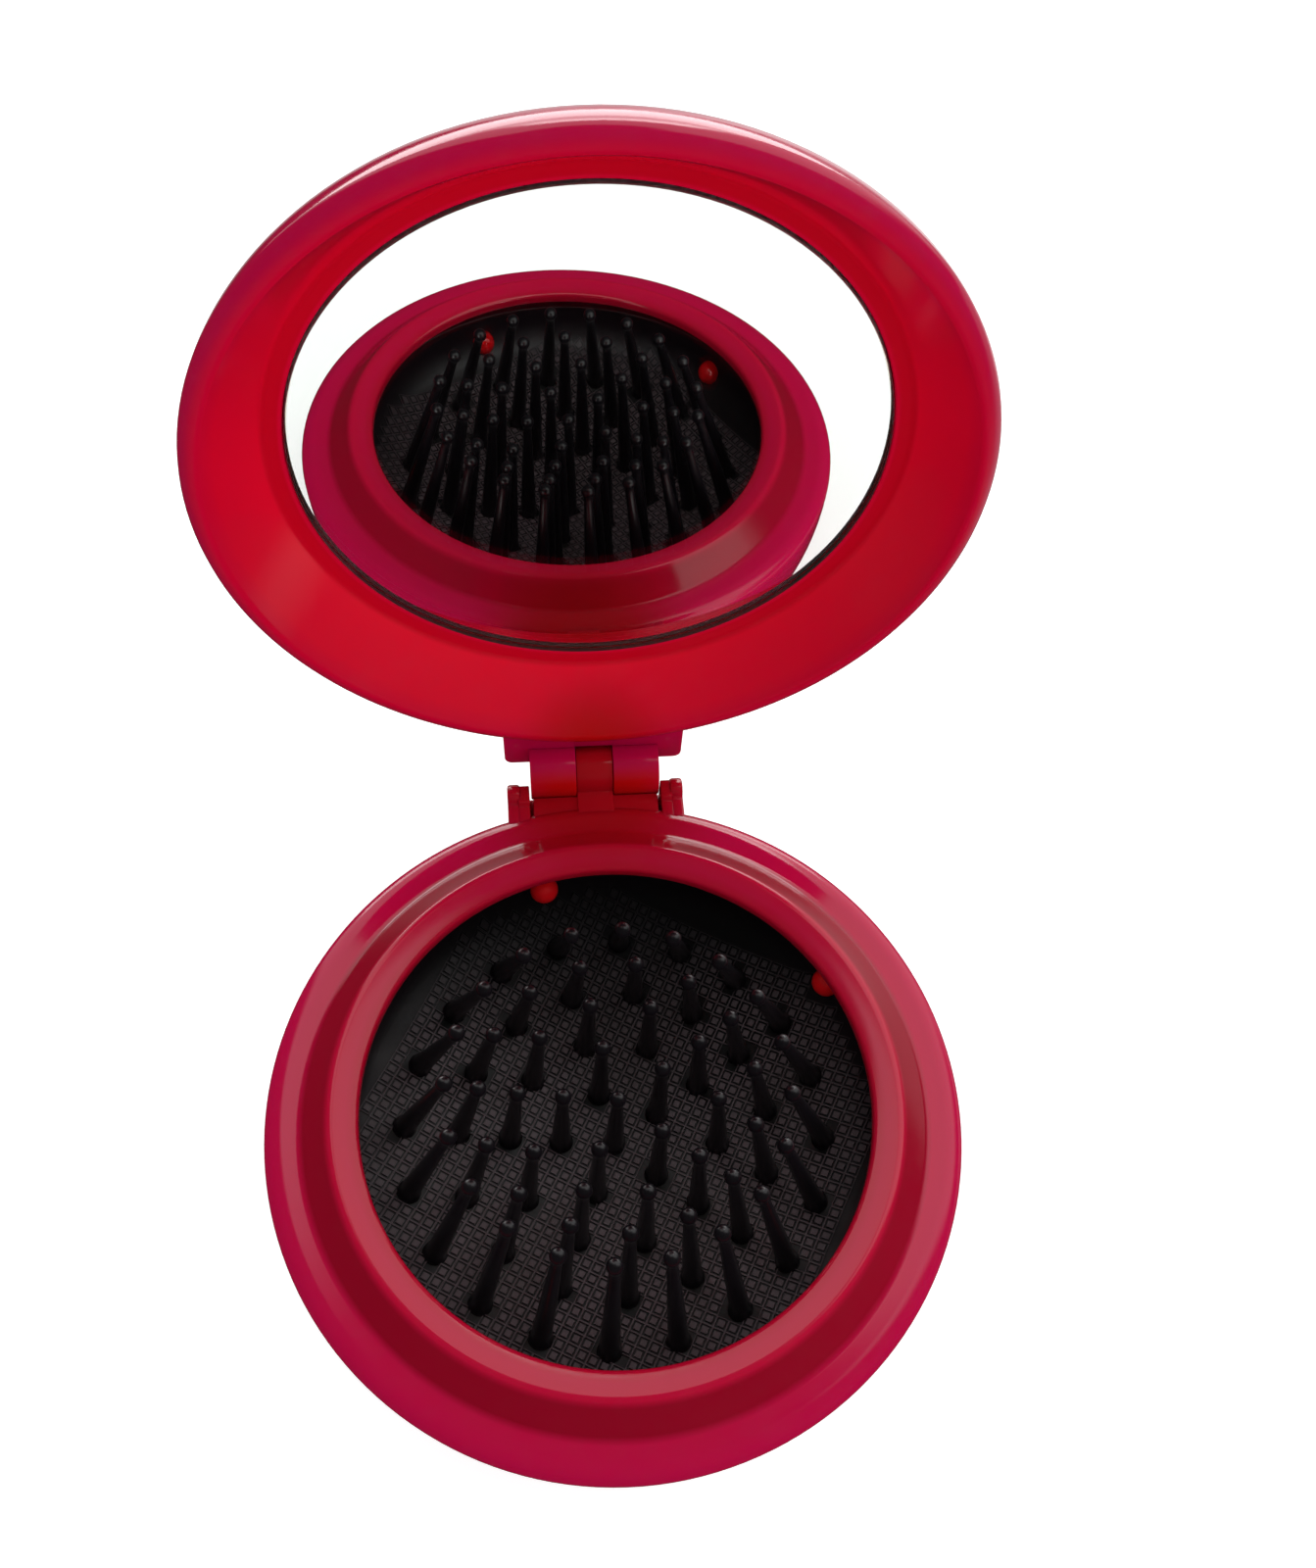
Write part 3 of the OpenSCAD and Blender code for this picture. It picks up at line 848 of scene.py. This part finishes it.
def pinOutline():
    ballHeight = pins["length"] - pins["ballRadius"]
    neck = pins["neckRadius"]
    stem = pins["stemRadius"]
    head = pins["headRadius"]
    headTop = -pad["thickness"] - pins["headGap"]
    headFoot = headTop - pins["headHeight"]
    rootHeight = pad["bossHeight"] + 0.03
    flare = [(pins["rootRadius"] + wider, rootHeight + height, *corner)
             for wider, height, *corner in pins["rootFlare"]]
    ball = arc((0, ballHeight), pins["ballRadius"], -42, 90, 8)
    return [
        (0, headFoot), (head, headFoot, 0.25), (head, headTop), (stem, headTop), (stem, rootHeight),
        *flare, (neck + pins["middleTaper"], ballHeight * 0.5),
        *[(neck, ballHeight - below) for below in pins["neckBelowBall"]],
        *ball[:-1], (0, pins["length"]),
    ]


def makePins(ring, name, nodeName):
    bm = bmesh.new()
    spinOutline(bm, pinOutline(), pins["spinSteps"])
    template = bm.verts[:] + bm.edges[:] + bm.faces[:]
    first, *others = rootPlaces(ring)
    for place in others:
        copied = bmesh.ops.duplicate(bm, geom=template)
        moved = [v for v in copied["geom"] if isinstance(v, bmesh.types.BMVert)]
        bmesh.ops.transform(bm, matrix=place, verts=moved)
    firstPin = [v for v in template if isinstance(v, bmesh.types.BMVert)]
    bmesh.ops.transform(bm, matrix=first, verts=firstPin)
    piece = finishPiece(name, bm, toBase, nylon, None, [nodeName])
    followButton(piece, [popShare(ringRadius(ring))] * len(piece.data.vertices))


def cellsOffRubber(cells):
    # those past the rubber's edge, and those where a pin's boss or a peg is
    roots = [place.translation.xy for ring in range(pins["rings"] + 1) for place in rootPlaces(ring)]
    pegs = [Vector((math.cos(a), math.sin(a))) * pad["wallRadius"] for a in pegAngles()]
    off = []
    for face in cells:
        centre = face.calc_center_median().xy
        farthest = max(v.co.xy.length for v in face.verts)
        byPin = min((centre - root).length for root in roots) < pad["clearOfPins"]
        byPeg = min((centre - peg).length for peg in pegs) < pad["clearOfPegs"]
        if farthest > pad["cellReach"] or byPin or byPeg:
            off.append(face)
    return off


def addWaffle(bm):
    # raised squares, each in a cell framed by thin ridges, as one closed sheet sunk in the rubber
    cell = pad["cell"]
    count = 2 * int(pad["cellsTo"] / cell)
    turn = Matrix.Rotation(math.radians(pad["cellTurn"]), 4, "Z")
    before = set(bm.verts)
    bmesh.ops.create_grid(bm, x_segments=count, y_segments=count, size=count * cell / 2, matrix=turn)
    cells = {f for v in bm.verts if v not in before for f in v.link_faces}
    bmesh.ops.delete(bm, geom=cellsOffRubber(cells), context="FACES")
    sheet = [v for v in bm.verts if v not in before]
    for vert in sheet:
        vert.co.z = floorHeight(vert.co.xy.length) + pad["ridgeHeight"]
    cells = list({f for v in sheet for f in v.link_faces})
    grown = bmesh.ops.extrude_face_region(bm, geom=cells, use_keep_orig=True)
    tops = [f for f in grown["geom"] if isinstance(f, bmesh.types.BMFace)]
    bmesh.ops.translate(bm, verts=sheet, vec=(0, 0, -pad["waffleSink"]))
    bmesh.ops.recalc_face_normals(bm, faces=list({f for v in sheet for f in v.link_faces}) + tops)
    # the raised share paints the tops and ridges lighter and the grooves near black: painted sheen and shade
    raised = bm.verts.layers.float["raised"]
    for width, height, share in (
        (0, 0, 1.0),
        (pad["ridgeHalf"], 0, 1.0),
        (pad["grooveSlope"], -pad["ridgeHeight"], 0.0),
        (pad["grooveWidth"], 0, 0.0),
        (pad["grooveSlope"], pad["squareHeight"], 1.0),
    ):
        if width:
            bmesh.ops.inset_individual(bm, faces=tops, thickness=width, depth=height, use_even_offset=True)
        for vert in {v for f in tops for v in f.verts}:
            vert[raised] = share


def padOutline():
    wall = pad["wallRadius"]
    bead = pad["beadRadius"]
    top = pad["top"]
    foot = bowlHeight(wall)
    rows = pad["floorRows"]
    radii = [(wall - pad["cornerInset"]) * i / rows for i in range(rows + 1)]
    return [
        *[(r, floorHeight(r)) for r in radii],
        (wall, foot + 2.4), (wall, top, 0.25), (bead, top, 0.2), (bead, foot - 0.2, 0.4),
        (bead - 0.4, foot - 1.6, 0.4), (bead - 1.4, foot - 2.2),
        *[(r, bowlHeight(r) - pad["thickness"]) for r in reversed(radii[:pad["undersideRows"]])],
    ]


def makePad():
    bm = bmesh.new()
    bm.verts.layers.float.new("raised")
    spinOutline(bm, padOutline())
    boss = pad["bossRadius"]
    toMiddle = Matrix.Translation((0, 0, pad["bossHeight"] - pad["bossLength"] / 2))
    for ring in range(pins["rings"] + 1):
        for place in rootPlaces(ring):
            bmesh.ops.create_cone(bm, cap_ends=True, segments=24, radius1=boss + pad["bossFlare"],
                                  radius2=boss - pad["bossTaper"], depth=pad["bossLength"],
                                  matrix=place @ toMiddle)
    addWaffle(bm)
    piece = finishPiece("rubberPad", bm, toBase, rubber, None, ["brush_pad"])
    places = [vert.co / metresPerMm for vert in piece.data.vertices]
    followButton(piece, [popShare(place.xy.length, place.z - brush["baseHeight"]) for place in places])


makePad()
makePins(0, "pinCentre", "pin_centre")
for ring in range(1, pins["rings"] + 1):
    makePins(ring, f"pinsRing{ring}", f"pins_ring_{ring}")

# Push button under the pad.
button = {
    "radius": 14.0,
    "height": 2.5,
    "floor": 1.4,
    "rimWidth": 1.5,
    "flange": 1.3,
    "flangeHeight": 1.55,
    "grooveRadius": 10.1,
    "grooveHalf": 0.7,
    "grooveFloorHalf": 0.4,
    "grooveDepth": 0.3,
    "bossRadius": 3.6,
    "bossBore": 2.1,
    "ribCount": 5,
    "ribWidth": 1.0,
    "ribShort": 1.2,
    "ribSink": 0.1,
}


def makeButton():
    bm = bmesh.new()
    foot = -brush["baseHeight"]
    radius = button["radius"]
    inner = radius - button["rimWidth"]
    flange = foot + button["flangeHeight"]
    flangeRadius = radius + button["flange"]
    groove = button["grooveRadius"]
    grooveHalf = button["grooveHalf"]
    floorHalf = button["grooveFloorHalf"]
    grooveTop = foot + button["grooveDepth"]
    boss = button["bossRadius"]
    bore = button["bossBore"]
    top = foot + button["height"]
    inside = foot + button["floor"]
    spinOutline(bm, [
        (0, foot), (groove - grooveHalf, foot, 0.12), (groove - floorHalf, grooveTop, 0.1),
        (groove + floorHalf, grooveTop, 0.1), (groove + grooveHalf, foot, 0.12), (radius, foot, 0.4),
        (radius, flange), (flangeRadius, flange), (flangeRadius, top, 0.2), (inner, top, 0.15),
        (inner, inside), (boss, inside), (boss, top, 0.15), (bore, top, 0.15), (bore, inside + 0.2),
        (0, inside + 0.2),
    ])
    # the ribs run from the boss towards the rim, sunk a little in both and in the floor
    sink = button["ribSink"]
    length = radius - button["ribShort"] - boss
    middle = Matrix.Translation((boss - sink + length / 2, 0, (inside + top) / 2 - sink))
    size = Matrix.Diagonal((length, button["ribWidth"], top - inside + 2 * sink, 1))
    for i in range(button["ribCount"]):
        angle = math.radians(90 + shell["turn"] + (i + 0.5) * 360 / button["ribCount"])
        bmesh.ops.create_cube(bm, size=1, matrix=Matrix.Rotation(angle, 4, "Z") @ middle @ size)
    finishPiece("pushButton", bm, toBase, baseRed, "button", ["push_button"])


makeButton()

# Lid, drawn closed and then opened.
lid = {
    "height": 11.4,
    "crown": 0.3,
    "domeRadius": 20.0,
    "domeFoot": 0.9,
    "rimRadius": 33.3,
    "rimRound": 1.25,
    "rimHeight": 0.2,
    "recessRadius": 27.0,
    "recessDepth": 8.96,
    "mirrorDepth": 6.8,
    "bezelStep": 0.22,
    "bezelLedge": 1.7,
    "tabHalf": 9.9,
    "tabRound": 0.9,
    "tabShort": 0.4,  # of the hinge's axis
    "tabHeight": 1.0,
    "tabTop": 3.8,
    "tabSink": 4.0,
    "slotHalf": 2.07,
    "slotRadius": 3.3,
    "armOuter": 7.15,
    "knuckleRadius": 3.1,
}


def lidOutline():
    outer = brush["outerRadius"]
    top = lid["domeRadius"]
    crownFoot = lid["height"] - lid["crown"]
    recess = lid["recessRadius"]
    depth = lid["mirrorDepth"]
    rim = lid["rimHeight"]
    dome = quarterEllipse((top, lid["domeFoot"]), outer - top, crownFoot - lid["domeFoot"], 26)
    return [
        (0, lid["height"]), (top * 0.6, crownFoot + lid["crown"] * 0.6), *reversed(dome[1:]),
        (outer, rim, lid["rimRound"]), (lid["rimRadius"], rim, 0.35),
        (recess + lid["bezelLedge"], depth, 0.4), (recess, depth + lid["bezelStep"], 0.15),
        (recess, lid["recessDepth"]), (0, lid["recessDepth"]),
    ]


def addLidHinge(bm):
    # the tab, cut back in the middle for the base's knuckle, and the two knuckles under it
    outer = brush["outerRadius"]
    y = brush["hingeY"]
    tabY = y - lid["tabShort"]
    inLid = outer - lid["tabSink"]
    tabFoot = [(outer - 1.1, lid["tabHeight"])]
    tabBack = [(tabY - 0.6, lid["tabTop"]), (inLid, 5.8), (inLid, 4.4)]
    slot = lid["slotHalf"]
    r = lid["knuckleRadius"]
    knuckleTop = [(y + r, 0.8), (y + r - 0.9, 2.3), (y - 0.4, 3.2), (y - 2, 3.4), (y - r + 0.5, 1.8),
                  (y - r, 0.9)]
    for side in (-1, 1):
        addPlate(bm, tabFoot + [(tabY, lid["tabHeight"]), (tabY, 3)] + tabBack,
                 slot * side, lid["tabHalf"] * side, edgeRound=0.12, cornerRound=lid["tabRound"])
        addPlate(bm, arc((y, 0), r, 180, 360, 24) + knuckleTop,
                 slot * side, lid["armOuter"] * side, edgeRound=0.1)
    addPlate(bm, tabFoot + arc((y, 0), lid["slotRadius"], 162, 100, 8) + tabBack,
             -slot - 0.2, slot + 0.2, edgeRound=0.05)


def makeLid():
    bm = bmesh.new()
    spinOutline(bm, lidOutline())
    addLidHinge(bm)
    finishPiece("lidShell", bm, toOpenLid, lidRed, "lid", ["lid"])


makeLid()

# Mirror.
mirror = {
    "radius": 26.88,
    "thickness": 1.2,
    "ground": 0.1,
    "silverDepth": 8.02,
    "silverThickness": 0.1,
    "silverInset": 0.08,
    "sharpAngle": 20,
}


def makeMirror():
    bm = bmesh.new()
    front = lid["mirrorDepth"]
    back = front + mirror["thickness"]
    radius = mirror["radius"]
    spinOutline(bm, [
        (0, front), (radius - mirror["ground"], front), (radius, front + mirror["ground"]),
        (radius, back), (0, back),
    ])
    finishPiece("mirrorGlass", bm, toOpenLid, glass, "lid", ["mirror_glass"],
                mirror["sharpAngle"])
    bm = bmesh.new()
    near = mirror["silverDepth"]
    far = near + mirror["silverThickness"]
    radius -= mirror["silverInset"]
    spinOutline(bm, [(0, near), (radius, near), (radius, far), (0, far)])
    finishPiece("mirrorSilver", bm, toOpenLid, silver, "lid", ["mirror_silvering"],
                mirror["sharpAngle"])


makeMirror()

# Camera.
view = {
    "target": (4.8157, 23.3881, 18.0),
    "distance": 146.05,
    "elevation": 63.69,
    "azimuth": -10.005,
    "roll": 6.182,
    "focalPixels": 1381.05,
    "imageHeight": 1600,
    "sensorHeight": 36,
    "shiftX": 0.0069,
    "shiftY": 0.0699,
    "clipStart": 5.0,
}


def makeCamera():
    elevation = math.radians(view["elevation"])
    azimuth = math.radians(view["azimuth"])
    roll = math.radians(view["roll"])
    back = Vector((math.sin(azimuth) * math.cos(elevation), -math.cos(azimuth) * math.cos(elevation),
                   math.sin(elevation)))
    right = Vector((0, 0, 1)).cross(back).normalized()
    up = back.cross(right)
    rolledRight = math.cos(roll) * right + math.sin(roll) * up
    rolledUp = math.cos(roll) * up - math.sin(roll) * right
    place = (Vector(view["target"]) + back * view["distance"]) * metresPerMm
    camera = bpy.data.cameras.new("camera")
    camera.sensor_fit = "VERTICAL"
    camera.sensor_height = view["sensorHeight"]
    camera.lens = view["focalPixels"] * view["sensorHeight"] / view["imageHeight"]
    camera.shift_x = view["shiftX"]
    camera.shift_y = view["shiftY"]
    camera.clip_start = view["clipStart"] * metresPerMm
    cameraObject = bpy.data.objects.new("camera", camera)
    axes = Matrix((rolledRight, rolledUp, back)).transposed().to_4x4()
    cameraObject.matrix_world = Matrix.Translation(place) @ axes
    bpy.context.scene.collection.objects.link(cameraObject)
    bpy.context.scene.camera = cameraObject


makeCamera()

# Floor and light, in m.
studio = {
    "floorHalf": 3.0,
    "floorBelow": 0.0001,
    "floorColour": "#E6E6E6",
    "floorLift": 0.62,
    "floorInGloss": 0.018,
    "stripRadiance": 0.7,
    "stripFront": (0.08, 0.14),
    "stripLeft": (-0.12, -0.04),
    "stripRight": (0.24, 0.14),
    "rightRadiance": 0.4,
    "rightPartLeft": (0.05, 0.10),
    "rightPartFront": (-0.06, 0.04),
    "skyStrength": 1.19,
    "skyLean": (0.52, 0.26),  # how much more light comes from the right and from behind
    "seenSky": 1.25,
    "brightBehind": 1.36,
    "darkInFront": 0.02,
    "behindEdge": (-0.15, 0.05),  # how far forward the bright half of the sky reaches
    "leftEdge": (-0.21, -0.07),
    "leftTurn": 0.8,  # how much further left that edge lies towards the back
    "rightEdge": (0.97, 0.8),
    "shadeEdge": (19.5, 12.5),
    "doorwayRadiance": 19.0,  # times the square of the height on the sky, which is 1 at the zenith
    "doorwaySides": (-0.22, 0.52),
    "doorwayHeights": (0.28, 0.71),
    "doorwayBlur": {"side": 0.08, "foot": 0.05, "top": 0.04},
    "windowRadiance": 3.0,
    "windowSize": (1.4, 0.30),
    "windowPlace": (0.0, 1.0, 0.20),
    "windowTarget": (0.0, 0.03, 0.03),
}


def rayKinds(tree):
    # first, 1 for what the camera sees straight, in the mirror or through the glass; second, 1 for what
    # the polished pieces reflect
    path = addNode(tree, "ShaderNodeLightPath").outputs
    oneMirror = addNode(tree, "ShaderNodeMath", {0: path["Glossy Depth"], 1: 1.5}, operation="LESS_THAN")
    inMirror = addNode(tree, "ShaderNodeMath", {
        0: path["Is Transmission Ray"], 1: oneMirror,
    }, operation="MULTIPLY")
    seen = addNode(tree, "ShaderNodeMath", {0: path["Is Camera Ray"], 1: inMirror}, operation="MAXIMUM")
    reflected = addNode(tree, "ShaderNodeMath", {0: path["Is Glossy Ray"], 1: seen},
                        operation="SUBTRACT", use_clamp=True)
    return seen, reflected


def floorInGloss(tree, coords):
    # dark, but for the strip before the doorway and the part to the right
    x, y, z = addNode(tree, "ShaderNodeSeparateXYZ", {"Vector": coords}).outputs
    strip = pastEdges(tree, (y, studio["stripFront"]), (x, studio["stripLeft"]), (x, studio["stripRight"]))
    right = pastEdges(tree, (x, studio["rightPartLeft"]), (y, studio["rightPartFront"]))
    withStrip = addNode(tree, "ShaderNodeMapRange", {
        "Value": strip, "To Min": studio["floorInGloss"], "To Max": studio["stripRadiance"],
    })
    return addNode(tree, "ShaderNodeMath", {
        0: right, 1: studio["rightRadiance"], 2: withStrip,
    }, operation="MULTIPLY_ADD")


def makeFloor():
    bm = bmesh.new()
    bmesh.ops.create_grid(bm, x_segments=2, y_segments=2, size=studio["floorHalf"])
    mesh = bpy.data.meshes.new("floor")
    bm.to_mesh(mesh)
    bm.free()
    floor = bpy.data.objects.new("floor", mesh)
    floor.location.z = -studio["floorBelow"]
    bpy.context.scene.collection.objects.link(floor)
    material, tree, coords = startMaterial("paleFloor")
    seen, reflected = rayKinds(tree)
    lift = addNode(tree, "ShaderNodeMath", {0: seen, 1: studio["floorLift"]}, operation="MULTIPLY")
    diffuse = addNode(tree, "ShaderNodeBsdfDiffuse", {"Color": linearColour(studio["floorColour"])})
    glow = addNode(tree, "ShaderNodeEmission", {"Strength": lift})
    both = addNode(tree, "ShaderNodeAddShader", {0: diffuse, 1: glow})
    dim = addNode(tree, "ShaderNodeEmission", {"Strength": floorInGloss(tree, coords)})
    shader = addNode(tree, "ShaderNodeMixShader", {"Fac": reflected, 1: both, 2: dim})
    addNode(tree, "ShaderNodeOutputMaterial", {"Surface": shader})
    mesh.materials.append(material)


def skyInGloss(tree, x, y, z):
    # bright behind the brush, dark in front, to the left and straight above, as where a person leans
    # over it, and brightest in a doorway behind the lid
    fromTop = addNode(tree, "ShaderNodeMath", {0: z}, operation="ARCCOSINE")
    wide, narrow = (math.radians(angle) for angle in studio["shadeEdge"])
    turned = addNode(tree, "ShaderNodeMath", {0: y, 1: studio["leftTurn"], 2: x}, operation="MULTIPLY_ADD")
    lit = pastEdges(tree, (y, studio["behindEdge"]), (fromTop, (narrow, wide)),
                    (turned, studio["leftEdge"]), (x, studio["rightEdge"]))
    room = addNode(tree, "ShaderNodeMapRange", {
        "Value": lit, "To Min": studio["darkInFront"], "To Max": studio["brightBehind"],
    })
    slant = addNode(tree, "ShaderNodeMath", {0: x, 1: y}, operation="DIVIDE")
    behind = addNode(tree, "ShaderNodeMath", {0: y, 1: 0.0}, operation="GREATER_THAN")
    left, right = studio["doorwaySides"]
    foot, top = studio["doorwayHeights"]
    blur = studio["doorwayBlur"]
    opening = pastEdges(tree, (slant, (left - blur["side"], left + blur["side"])),
                        (slant, (right + blur["side"], right - blur["side"])),
                        (z, (foot - blur["foot"], foot + blur["foot"])),
                        (z, (top + blur["top"], top - blur["top"])))
    doorway = addNode(tree, "ShaderNodeMath", {0: behind, 1: opening}, operation="MULTIPLY")
    squared = addNode(tree, "ShaderNodeMath", {0: z, 1: z}, operation="MULTIPLY")
    bright = addNode(tree, "ShaderNodeMath", {0: squared, 1: studio["doorwayRadiance"]}, operation="MULTIPLY")
    return addNode(tree, "ShaderNodeMath", {0: doorway, 1: bright, 2: room}, operation="MULTIPLY_ADD")


def makeSky():
    # an even soft sky for the light, a room in the gloss and plain white where the camera sees it
    world = bpy.data.worlds.new("softSky")
    bpy.context.scene.world = world
    world.use_nodes = True
    tree = world.node_tree
    tree.nodes.clear()
    direction = addNode(tree, "ShaderNodeTexCoord").outputs["Generated"]
    x, y, z = addNode(tree, "ShaderNodeSeparateXYZ", {"Vector": direction}).outputs
    lean = addNode(tree, "ShaderNodeVectorMath", {0: direction, 1: (*studio["skyLean"], 0)},
                   operation="DOT_PRODUCT").outputs["Value"]
    share = addNode(tree, "ShaderNodeMath", {0: lean, 1: 1.0}, operation="ADD")
    even = addNode(tree, "ShaderNodeMath", {0: share, 1: studio["skyStrength"]}, operation="MULTIPLY")
    seen, reflected = rayKinds(tree)
    unseen = addNode(tree, "ShaderNodeMix", {
        "Factor": reflected, "A": even, "B": skyInGloss(tree, x, y, z),
    }, data_type="FLOAT")
    strength = addNode(tree, "ShaderNodeMix", {
        "Factor": seen, "A": unseen, "B": studio["seenSky"],
    }, data_type="FLOAT")
    background = addNode(tree, "ShaderNodeBackground", {"Strength": strength})
    addNode(tree, "ShaderNodeOutputWorld", {"Surface": background})


def makeWindow():
    width, height = studio["windowSize"]
    light = bpy.data.lights.new("windowBehind", "AREA")
    light.shape = "RECTANGLE"
    light.size = width
    light.size_y = height
    light.energy = studio["windowRadiance"] * math.pi * width * height
    window = bpy.data.objects.new("windowBehind", light)
    place = Vector(studio["windowPlace"])
    window.location = place
    towards = Vector(studio["windowTarget"]) - place
    window.rotation_euler = towards.to_track_quat("-Z", "Y").to_euler()
    bpy.context.scene.collection.objects.link(window)


makeFloor()
makeSky()
makeWindow()
bpy.context.scene.view_settings.view_transform = "Standard"
print("camera, floor and light ready")
